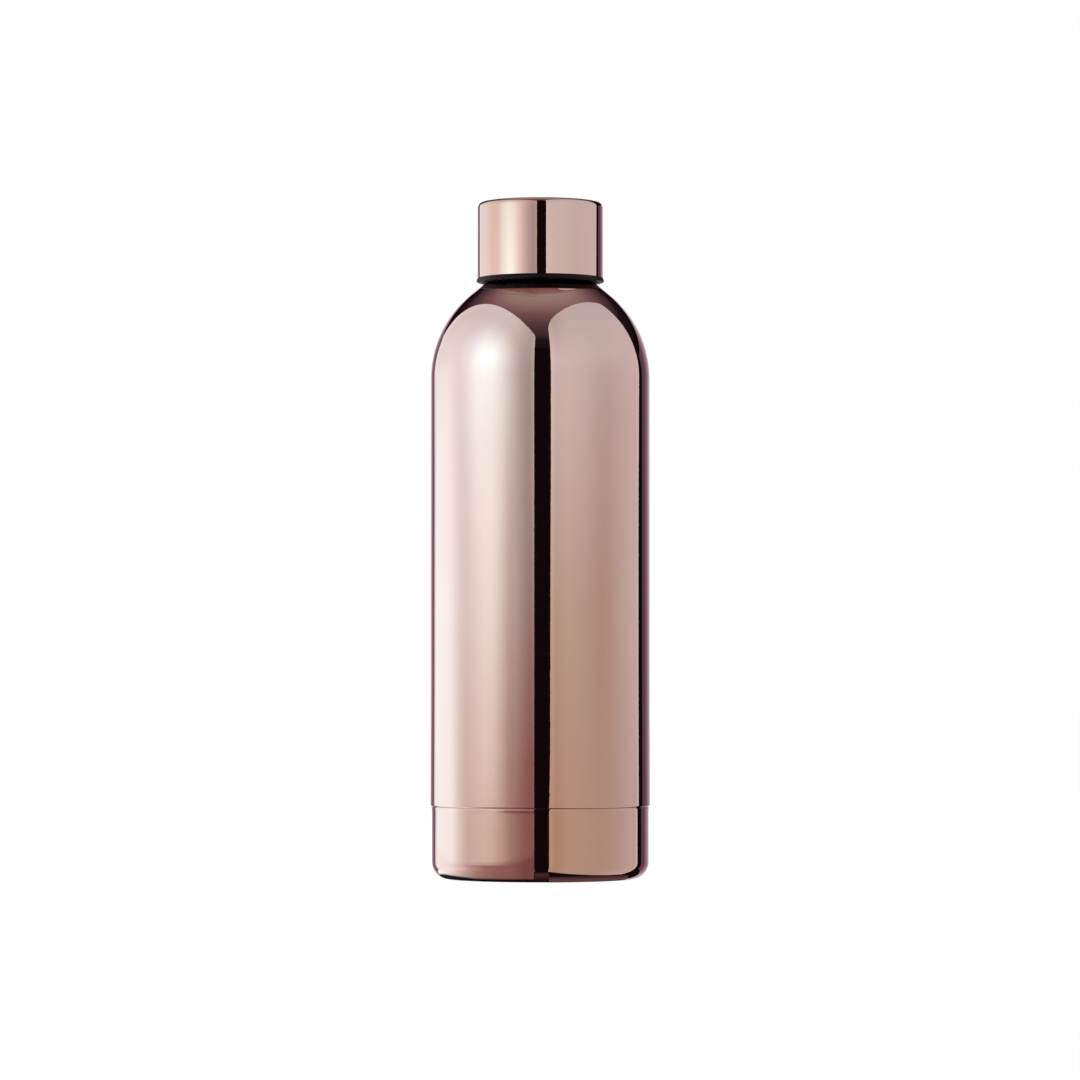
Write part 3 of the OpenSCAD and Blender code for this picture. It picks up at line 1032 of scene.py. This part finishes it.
def cap_gel():
    """Warm gel close round the left of the cap, for the cap's reflections; it clears upwards."""
    radius = 0.0226
    low_z, fade_z, clear_z, high_z = 0.1925, 0.2175, 0.236, 0.240
    steps = 90
    stops = [
        (-85, (1.0, 1.0, 1.0)), (-70, (1.0, 0.96, 0.92)), (-61, (0.98, 0.87, 0.81)),
        (-54, (0.95, 0.79, 0.71)), (-48, (0.92, 0.74, 0.67)), (-42, (0.95, 0.85, 0.77)),
        (-35, (0.90, 0.86, 0.80)), (-28, (0.91, 0.83, 0.765)), (-23, (0.92, 0.76, 0.70)),
        (-18.5, (0.93, 0.74, 0.72)), (-14, (0.93, 0.79, 0.78)), (-10, (0.98, 0.89, 0.88)),
        (-5.5, (0.97, 0.88, 0.87)),
    ]
    material, tree, light = glowing("cap_gel")
    tree.nodes.remove(light)
    tint = add(tree, "ShaderNodeBsdfTransparent")
    fade = range_of(tree, parts_of(tree, place_of(tree))["Z"], fade_z, clear_z, 0, 1)
    shade = blend_of(tree, "MIX", fade, azimuth_ramp(tree, stops), grey(1))
    tree.links.new(shade, tint.inputs["Color"])
    tree.links.new(tint.outputs["BSDF"], tree.nodes["Material Output"].inputs["Surface"])
    points = [(x, y, z) for x, y in arc(radius, -89, -2, steps) for z in (low_z, high_z)]
    faces = [(2 * i, 2 * i + 2, 2 * i + 3, 2 * i + 1) for i in range(steps)]
    gel = hidden("cap_gel", points, faces, material)
    gel.visible_diffuse = False


def pale_floor():
    """White floor that shows a faint contact shadow, and nothing from below."""
    material, tree, shader = new_material("pale_floor")
    tree.nodes.remove(shader)
    cloud = noise_of(tree, 6, 2)
    diffuse = add(tree, "ShaderNodeBsdfDiffuse")
    shades = [(0.3, (0.30, 0.30, 0.30)), (0.7, (0.32, 0.32, 0.32))]
    tree.links.new(ramp_of(tree, cloud, shades), diffuse.inputs["Color"])
    light = add(tree, "ShaderNodeEmission")
    strength = range_of(tree, length_of(tree, place_of(tree)), 0.1, 0.4, 0.93, 1)
    tree.links.new(strength, light.inputs["Strength"])
    both = add(tree, "ShaderNodeAddShader")
    tree.links.new(diffuse.outputs["BSDF"], both.inputs[0])
    tree.links.new(light.outputs["Emission"], both.inputs[1])
    clear = add(tree, "ShaderNodeBsdfTransparent")
    side = add(tree, "ShaderNodeNewGeometry")
    pick = add(tree, "ShaderNodeMixShader")
    tree.links.new(side.outputs["Backfacing"], pick.inputs["Fac"])
    tree.links.new(both.outputs["Shader"], pick.inputs[1])
    tree.links.new(clear.outputs["BSDF"], pick.inputs[2])
    tree.links.new(pick.outputs["Shader"], tree.nodes["Material Output"].inputs["Surface"])
    floor = card("pale_floor", square(6), Matrix.Translation((0, 0, FLOOR_Z)), material)
    floor.visible_camera = True
    floor.visible_glossy = False


def world_light():
    """White to the camera and nearly dark to everything else, as in a black-lined studio."""
    world = bpy.data.worlds.new("studio")
    bpy.context.scene.world = world
    world.use_nodes = True
    tree = world.node_tree
    tree.nodes.clear()
    path = add(tree, "ShaderNodeLightPath")
    white = add(tree, "ShaderNodeBackground")
    white.inputs["Color"].default_value = (1, 1, 1, 1)
    dark = add(tree, "ShaderNodeBackground")
    dark.inputs["Color"].default_value = (0.006, 0.003, 0.0045, 1)
    mix = add(tree, "ShaderNodeMixShader")
    output = add(tree, "ShaderNodeOutputWorld")
    tree.links.new(path.outputs["Is Camera Ray"], mix.inputs["Fac"])
    tree.links.new(dark.outputs["Background"], mix.inputs[1])
    tree.links.new(white.outputs["Background"], mix.inputs[2])
    tree.links.new(mix.outputs["Shader"], output.inputs["Surface"])


def camera():
    """Long lens at the photograph's angle, level with the lower part of the bottle."""
    distance = 1.506
    eye_x = -0.09 * MM
    eye_z = 66.35 * MM
    aim_z = (cad_low.z + cad_high.z) / 2
    width = 346 * MM
    lens = bpy.data.cameras.new("camera")
    lens.sensor_width = 36
    lens.lens = lens.sensor_width * distance / width
    lens.clip_start = 0.05
    lens.clip_end = 50
    eye = link_object("camera", lens)
    eye.location = (eye_x, -distance, eye_z)
    eye.rotation_euler = (math.pi / 2 + math.atan2(aim_z - eye_z, distance), 0, 0)
    bpy.context.scene.camera = eye


# ---------------------------------------------------------------------------------------------
# Putting it together
# ---------------------------------------------------------------------------------------------

camera()
world_light()
left_panel()
right_panel()
backdrop()
ceiling()
floor_glow()
cap_gel()
pale_floor()

BODY_COPPER = copper_mirror("copper_body", (0.915, 0.70, 0.635), (0.90, 0.675, 0.61), 0.02)
CUP_COPPER = copper_mirror("copper_foot_cup", (0.91, 0.69, 0.62), (0.895, 0.66, 0.59), 0.02)
CAP_COPPER = copper_mirror("copper_cap", (0.92, 0.69, 0.61), (0.905, 0.665, 0.585), 0.022)
FLASK_STEEL = steel("flask_steel", (0.60, 0.60, 0.59), 0.30, 0.12, (0.03, 0.03, 1.0))
PLAIN_STEEL = steel("plain_steel", (0.56, 0.56, 0.56), 0.34, 0.06, (1, 1, 1))
GETTER_ALLOY = steel("getter_alloy", (0.20, 0.20, 0.21), 0.6, 0.5, (1, 1, 1))
BLACK_PLASTIC = black_plastic("black_plastic")
SILICONE = milky_silicone("milky_silicone")
FOIL = crinkled_foil("copper_foil")

mirror_body()
mirror_foot_cup()
steel_flask()
steel_flask_base()
mirror_cap()
plastic_liner()
silicone_ring()

paint_node("outer_bottom", PLAIN_STEEL)
paint_node("getter_clip", PLAIN_STEEL)
paint_node("seal_bead", bead_glass("sealing_glass"))
paint_node("radiation_foil", FOIL)
paint_node("foil_disc", FOIL)
paint_node("getter", GETTER_ALLOY)
paint_node("cap_insulation", foam("cap_foam"))

bpy.context.scene.view_settings.view_transform = "Standard"
bpy.context.scene.view_settings.look = "None"
